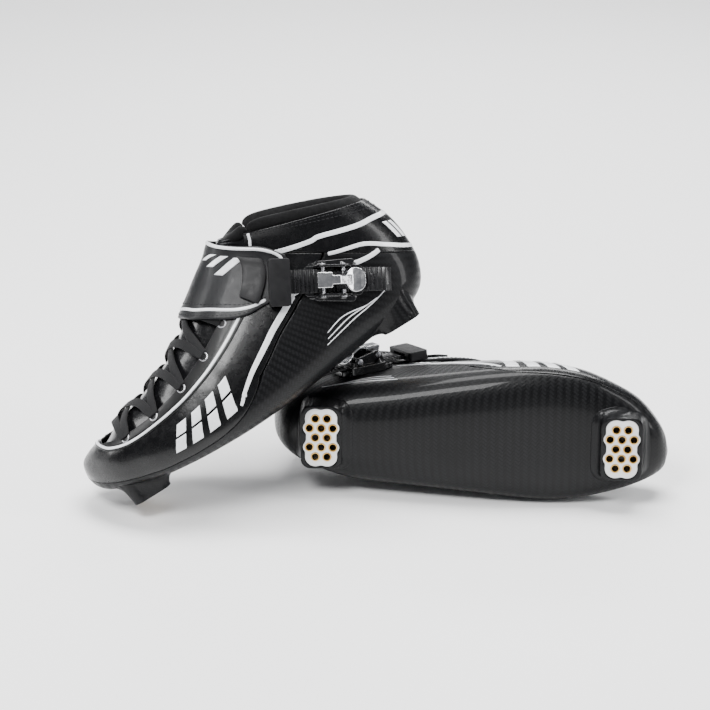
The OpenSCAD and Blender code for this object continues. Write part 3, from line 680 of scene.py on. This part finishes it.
s = spread(34, 40)[:, None]
t = spread(150, 240)[None, :]
U = mix(CUFF_U + SEAM, 1, s) + 0 * t
reach = throat(U)
add("ankle_leather", solid(U, mix(-reach, reach, t), 0, LEATHER_UNDER, roll=0.7, swell=True), "leather",
    stands_for=["ankle_cuff"])

# A facing of thinner leather along each side of the throat, sewn on.
FACING_OUT = [[0.176, 0.44], [0.19, 0.402], [0.21, 0.372], [0.25, 0.3475], [0.32, 0.3455], [1, 0.343]]
for word, flip in (("outer", False), ("inner", True)):
    s = spread(70, 130)[:, None]
    t = spread(10, 14)[None, :]
    U = mix(0.2, 0.6, s) + 0 * t
    low, high = look(FACING_OUT, U, 0.015), throat(U) - 0.001
    V = mix(low, high, t)
    add(f"facing_{word}", solid(U, 1 - V if flip else V, 0.42, -0.3, roll=0.35, swell=True),
        "facing_leather")

# ---------- lining, insole, collar, tongue ----------

LINER_OUT = -3.1
s = spread(90, 300)[:, None]
t = spread(70, 170)[None, :]
U = mix(5 / 32, 0.94, s) + 0 * t
reach = throat(np.maximum(U, 0.25))
add("lining", solid(U, mix(-reach, reach, t), LINER_OUT, LINER_OUT - 1.2, roll=0.4), "lining", stands_for=["liner"])

s = spread(60, 220)[:, None]
t = spread(24, 60)[None, :]
U = mix(0.07, 0.7, s) + 0 * t
add("insole", solid(U, mix(-0.13, 0.13, t) + 0 * U, LINER_OUT - 2.2, LINER_OUT - 5.2, roll=1.2),
    "insole_foam", stands_for=["insole"])

steps = 220
v = np.linspace(-0.36, 0.36, steps + 1)
one = np.ones_like(v)
out, up = normal(one, v), unit(run(one, v))
mid = at(one, v, -5.9 * one) + up * 1.5
close = np.sqrt(np.clip(1 - (np.abs(v) / 0.361) ** 9, 0.01, 1))
puff = 1 + 0.05 * ripple(mid, 26) + 0.03 * ripple(mid + 50, 11)
rings = []
for a in np.linspace(0, 2 * math.pi, 29)[:-1]:
    co, si = math.cos(a), math.sin(a)
    lean = 1.1 * si
    wide = 3.5 * np.sign(co) * abs(co) ** 0.85 * close * puff + lean
    tall = 7.6 * np.sign(si) * abs(si) ** 0.9 * close * (0.96 + 0.04 * puff)
    rings.append(mid + out * wide[:, None] + up * tall[:, None])
add("collar", ringed(np.stack(rings, 1)), "lining", stands_for=["collar_pad"])

s = spread(170, 170)[:, None]
t = spread(40, 56)[None, :]
U = mix(0.168, 1, s) + 0 * t
V = mix(0.37, 0.63, t) + 0 * U
clear = np.clip((U - 0.19) / 0.07, 0, 1)  # the toe end dives under the leather
clear = clear * clear * (3 - 2 * clear)
rise = 4.2 * np.sin(np.pi * t) ** 2 * clear
length = 165 * s
quilt = 0.75 * np.abs(np.sin(np.pi * length / 9)) ** 0.6 * np.clip(np.sin(np.pi * t) * 2.2 - 0.5, 0, 1) * clear
hollow = -0.5 * np.exp(-((t - 0.5) / 0.03) ** 2)
add("tongue", solid(U, V, LINER_OUT - 2.4 + rise + quilt + hollow, LINER_OUT - 5.5 + rise, roll=1.5),
    "tongue_leather", stands_for=["tongue"])

v = np.linspace(0.364, 0.636, 101)
one = np.ones_like(v)
out, up = normal(one, v), unit(run(one, v))
mid = at(one, v, -6.3 * one) + up * (0.2 + 0.5 * np.sin(np.pi * (v - 0.364) / 0.272))[:, None]
close = np.sqrt(np.clip(1 - (np.abs(v - 0.5) / 0.1365) ** 10, 0.01, 1))
puff = 1 + 0.06 * ripple(mid, 21)
rings = []
for a in np.linspace(0, 2 * math.pi, 25)[:-1]:
    co, si = math.cos(a), math.sin(a)
    rings.append(mid + out * (3.3 * np.sign(co) * abs(co) ** 0.85 * close * puff)[:, None]
                 + up * (5.4 * np.sign(si) * abs(si) ** 0.9 * close * puff)[:, None])
add("tongue_top", ringed(np.stack(rings, 1)), "lining")

# ---------- laces ----------

LACE_W, LACE_T = 6.6, 1.0
parts = [ribbon([[EYELETS[0] - 0.004, v, w, h] for v, w, h in (
    (0.366, 4.2, 0.55), (0.385, LACE_W, 0.95), (0.44, LACE_W, 0.95), (0.5, LACE_W, 1.0), (0.56, LACE_W, 0.95),
    (0.615, LACE_W, 0.95), (0.634, 4.2, 0.55))], 60, LACE_T, 0.1)]
for i in range(len(EYELETS) - 1):
    for flip in (0, 1):
        hump = 0.0 if flip == 0 else 1.35
        path = []
        for f in np.linspace(0, 1, 9):
            v = mix(0.3665, 0.6335, f)
            u = mix(EYELETS[i] + 0.006, EYELETS[i + 1] - 0.003, f) + 0.012 * math.sin(2 * math.pi * f) * -0.6
            lift = 0.95 + hump * math.sin(math.pi * f) ** 0.6 - 0.35 * (f in (0.0, 1.0))
            path.append([u, v if flip == 0 else 1 - v, LACE_W if 0 < f < 1 else 4.2, lift])
        parts.append(ribbon(path, 70, LACE_T, 0.1))
add("laces", joined(parts), "lace_cord", stands_for=["lace"])

rings = []
for u in EYELETS:
    for v in EYELET_V:
        n = normal(np.array(u), np.array(v))
        x = unit(np.cross(n, [0.3, 1, 0.2]))
        y = np.cross(n, x)
        base = at(u, v, np.array(0.32))
        loops = [[base + (2.95 + 0.62 * math.cos(a)) * (x * math.cos(b) + y * math.sin(b)) + n * 0.62 * math.sin(a)
                  for a in np.linspace(0, 2 * math.pi, 11)[:-1]] for b in np.linspace(0, 2 * math.pi, 37)[:-1]]
        rings.append(ringed(loops, closed=True))
add("eyelets", joined(rings), "steel", stands_for=["eyelets"])

# ---------- silver lines ----------

half = [[0.6, 0.3385], [0.52, 0.339], [0.46, 0.339], [0.4, 0.34], [0.32, 0.341], [0.25, 0.342], [0.205, 0.37],
        [0.185, 0.41], [0.176, 0.455]]
path = half + [[0.174, 0.5]] + [[u, 1 - v] for u, v in reversed(half)]
piping = [ribbon([[u, v, 2.1, 0.05] for u, v in path], 260, 0.5, 0.35)]
for flip in (0, 1):
    piping.append(ribbon([[u, abs(flip - v), 2.1, 0.05] for u, v in ((0.885, 0.357), (0.93, 0.3555), (0.99, 0.3535))],
                         24, 0.5, 0.35))
add("throat_piping", joined(piping), "trim_silver", stands_for=["throat_trim"])
add("throat_welt", joined([ribbon([[u - 0.004 * (v > 0.36) * (v < 0.64), v - 0.0062 * np.sign(0.5 - v), 1.7, 0.02]
                                   for u, v in path], 260, 0.35, 0.35)]), "facing_leather")

STRIPES = [
    [[0.838, 0.321, 3.4], [0.85, 0.306, 3.4], [0.892, 0.256, 3.4], [0.914, 0.234, 3.4], [0.934, 0.156, 3.6],
     [0.946, 0.106, 3.8], [0.952, 0.03, 4], [0.953, 0, 4]],
    [[0.84, 0.242, 2.6], [0.872, 0.18, 2.9], [0.868, 0.13, 3.1], [0.862, 0.084, 3.1], [0.86, 0.03, 3.1],
     [0.86, 0, 3.1]],
    [[0.661, 0.283, 4.8], [0.6, 0.28, 4.6], [0.547, 0.2765, 4.2], [0.49, 0.267, 3.4], [0.445, 0.244, 2.2]]]
SPURS = [[[0.806, 0.214, 3.4], [0.83, 0.182, 3.4], [0.853, 0.152, 3.2]], [[0.612, 0.304, 3.6], [0.681, 0.279, 3.6]]]
parts = []
for path in STRIPES + SPURS:
    for flip in (False, True):
        parts.append(ribbon([[u, 1 - v if flip else v, w, 0.04] for u, v, w in path], 110, 0.3, 0.05))


def patch(corners, lift=0.03, thick=0.34, n=14):
    """A flat film with four corners (u, v), laid on the surface."""
    s = np.linspace(0, 1, n)[:, None, None]
    t = np.linspace(0, 1, n)[None, :, None]
    c = np.array(corners, float)
    grid = mix(mix(c[0], c[1], t), mix(c[3], c[2], t), s)
    return solid(grid[..., 0], grid[..., 1], lift + thick, lift - 0.2, roll=0.15, swell=True)


# Plain slanted bars on the outer side, in two rows.
for k in range(4):
    u = 0.325 + 0.031 * k
    parts.append(patch([[u, 0.242], [u + 0.019, 0.242], [u + 0.03, 0.272], [u + 0.011, 0.272]]))
    parts.append(patch([[u + 0.013, 0.277], [u + 0.032, 0.277], [u + 0.043, 0.303], [u + 0.024, 0.303]]))
# Two broad bars at the back of the heel.
for v in (0.035, 0.062):
    parts.append(patch([[0.885, v], [0.93, v + 0.012], [0.93, v + 0.03], [0.885, v + 0.018]]))
add("side_lines", joined(parts), "trim_silver", stands_for=["side_stripes"])

# Thin curved lines behind the buckle.
arcs = []
for k, (rise_v, span) in enumerate(((0.0, 1.0), (0.012, 0.8), (0.024, 0.6))):
    path = []
    for f in np.linspace(0, 1, 12):
        bow = math.sin(math.pi * f)
        path.append([0.575 + 0.01 * k + 0.16 * span * f, 0.19 + rise_v - 0.03 * f + 0.014 * bow,
                     0.55 + 0.25 * bow, 0.03])
    arcs.append(ribbon(path, 60, 0.12, 0.03, swell=False))
add("thin_lines", joined(arcs), "trim_silver")

# ---------- cuff strap ----------


def outer_side(v):
    return np.where(np.asarray(v) > 0.5, 1 - np.asarray(v), v)


def strap_top(v):
    return look(STRAP_RISE, outer_side(v), 0.012) + STRAP_T


def strap_edges(v):
    w = outer_side(v)
    return look(STRAP_LOW, w, 0.012), look(STRAP_HIGH, w, 0.012)


s = spread(120, 150)[:, None]
t = spread(50, 70)[None, :]
V = mix(0.3, 0.7, s) + 0 * t
low, high = strap_edges(V)
U = mix(high, low, t)
top = strap_top(V)
add("cuff_strap", solid(U, V, top, top - STRAP_T, roll=1.1, swell=True), "strap_leather",
    stands_for=["cuff_strap"])

INSET = 0.021
VS = np.linspace(0.313, 0.64, 40)
low, high = strap_edges(VS)
lift = strap_top(VS) + 0.02
lower = [[u + INSET, v, 2.2, d] for u, v, d in zip(low, VS, lift)]
upper = [[u - INSET, v, 2.2, d] for u, v, d in zip(high, VS, lift)]
hook = [[mix(upper[0][0], lower[0][0], f), 0.3085, 2.2, lift[0]] for f in (0.16, 0.08)]
parts = [ribbon(lower, 150, 0.42, 0.3), ribbon([hook[0], hook[1]] + upper, 160, 0.42, 0.3)]
# Plain slanted bars on the front of the strap, each shorter than the last.
for k in range(3):
    v0, tall = 0.372 + 0.031 * k, 0.135 - 0.03 * k
    n = 16
    S, T = np.meshgrid(np.linspace(0, 1, n), np.linspace(0, 1, n), indexing="ij")
    V = v0 + 0.019 * T + 0.03 * S
    U = 0.79 - tall * S - 0.008 * T
    lay = strap_top(V)
    parts.append(solid(U, V, lay + 0.3, lay - 0.3, roll=0.12, swell=True))
add("strap_lines", joined(parts), "trim_silver", stands_for=["strap_trim"])

# ---------- stitching ----------

rows = []
low, high = strap_edges(VS)
for inset in (0.0085, 0.0345):
    rows.append(stitches([[u + inset, v, d] for u, v, d in zip(low, VS, lift)]))
    rows.append(stitches([[u - inset, v, d] for u, v, d in zip(high, VS, lift)]))
facing_u = np.linspace(0.215, 0.59, 24)
facing_v = look(FACING_OUT, facing_u, 0.015) + 0.0035
for flip in (False, True):
    rows.append(stitches([[u, 1 - v if flip else v, 0.34] for u, v in zip(facing_u, facing_v)]))
    line = [[0.86, v, 0.02] for v in np.linspace(0.27, 0.36, 14)]
    rows.append(stitches([[u, 1 - v if flip else v, d] for u, v, d in line]))
rows.append(stitches([[0.985, v, 0.03] for v in np.linspace(-0.36, 0.36, 60)]))
rows.append(stitches([[0.972, v, 0.03] for v in np.linspace(-0.36, 0.36, 60)]))
add("stitching", joined(rows), "thread")

# ---------- moulded and metal pieces, from their CAD solids, with rounded edges ----------


BEVEL_ANGLE = 28   # edges sharper than this are rounded
SHARP_ANGLE = 32   # edges sharper than this stay crisp in the shading
WELD = 0.00001


def soften(node, paint, body, width=0.35, segments=2, melt=0.0, smooth=0):
    """A CAD solid's copy with rounded edges. melt remeshes it at that size and smooths it, as a casting."""
    for side in ("left", "right"):
        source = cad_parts[f"{side}_{node}"]
        obj = bpy.data.objects.new(f"{side}_{node}_piece", source.data.copy())
        bpy.context.scene.collection.objects.link(obj)
        obj.data.materials.clear()
        obj.data.materials.append(MATERIALS[paint])
        mesh = bmesh.new()
        mesh.from_mesh(obj.data)
        bmesh.ops.remove_doubles(mesh, verts=mesh.verts, dist=WELD)
        bmesh.ops.dissolve_limit(mesh, angle_limit=rad(1.5), verts=mesh.verts, edges=mesh.edges)
        mesh.to_mesh(obj.data)
        mesh.free()
        if width:
            bevel = obj.modifiers.new("bevel", "BEVEL")
            bevel.width = width * MM
            bevel.segments = segments
            bevel.limit_method = "ANGLE"
            bevel.angle_limit = rad(BEVEL_ANGLE)
            bevel.use_clamp_overlap = True
        if melt:
            remesh = obj.modifiers.new("remesh", "REMESH")
            remesh.mode = "VOXEL"
            remesh.voxel_size = melt * MM
            ease = obj.modifiers.new("smooth", "SMOOTH")
            ease.factor = 0.5
            ease.iterations = smooth
        graph = bpy.context.evaluated_depsgraph_get()
        done = bpy.data.meshes.new_from_object(obj.evaluated_get(graph))
        obj.modifiers.clear()
        obj.data = done
        finish_mesh(obj, flat_angle=None if melt else SHARP_ANGLE)
        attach(obj, f"{side}_{body}")
        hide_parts(f"{side}_{node}")


soften("front_plate", "plate_white", "boot", 0.35)
soften("rear_plate", "plate_white", "boot", 0.35)
soften("plate_inserts", "brass_insert", "boot", 0.22)
soften("holder_pad", "moulded_plastic", "boot", 0.5)
soften("strap_holder", "moulded_plastic", "boot", 0.9, 4)
soften("strap_rivets", "steel", "boot", 0.3)
soften("ladder_strap", "ladder_plastic", "ladder", 0.22)
soften("buckle_base", "buckle_plastic", "boot", 0.4, 3, melt=0.32, smooth=5)
soften("buckle_lever", "polished_steel", "lever", 0.35, 2, melt=0.34, smooth=7)
soften("buckle_pins", "steel", "boot", 0.3, 3)
soften("release_pawl", "buckle_plastic", "pawl", 0.3)
soften("pawl_spring", "steel", "boot", 0)
soften("buckle_screws", "steel", "boot", 0.2)

BUCKLE = np.array(Matrix.Translation((64, 33.4, 62)) @ Matrix.Rotation(rad(6), 4, "Z")
                  @ Matrix.Rotation(rad(6 - 90), 4, "X") @ Matrix.Rotation(rad(150), 4, "Z"))
LEVER_X, PAWL_X = -8.7, 6.4
wings = []
for way in (-1, 1):
    rings = []
    for x in np.linspace(-18, 17, 60):
        end = math.sqrt(max(0.02, 1 - abs((x + 0.5) / 17.6) ** 5))
        tall = (2.4 + 6.9 * math.exp(-((x - LEVER_X) / 4.4) ** 2) + 4.4 * math.exp(-((x - PAWL_X) / 4.6) ** 2)) * end
        wide = 1.9 * end
        middle = 12.9 - 0.9 * abs(x / 17) ** 2
        ring = []
        for a in np.linspace(0, 2 * math.pi, 21)[:-1]:
            co, si = math.cos(a), math.sin(a)
            y = middle + wide * math.copysign(abs(co) ** 0.7, co) - 0.5 * (si + 1) * end
            ring.append((x, way * y, 0.5 + tall * (1 + math.copysign(abs(si) ** 0.8, si)) / 2))
        rings.append(ring)
    points, faces, uv = ringed(rings)
    wings.append((points @ BUCKLE[:3, :3].T + BUCKLE[:3, 3], faces, uv))
add("buckle_wings", joined(wings), "buckle_plastic")
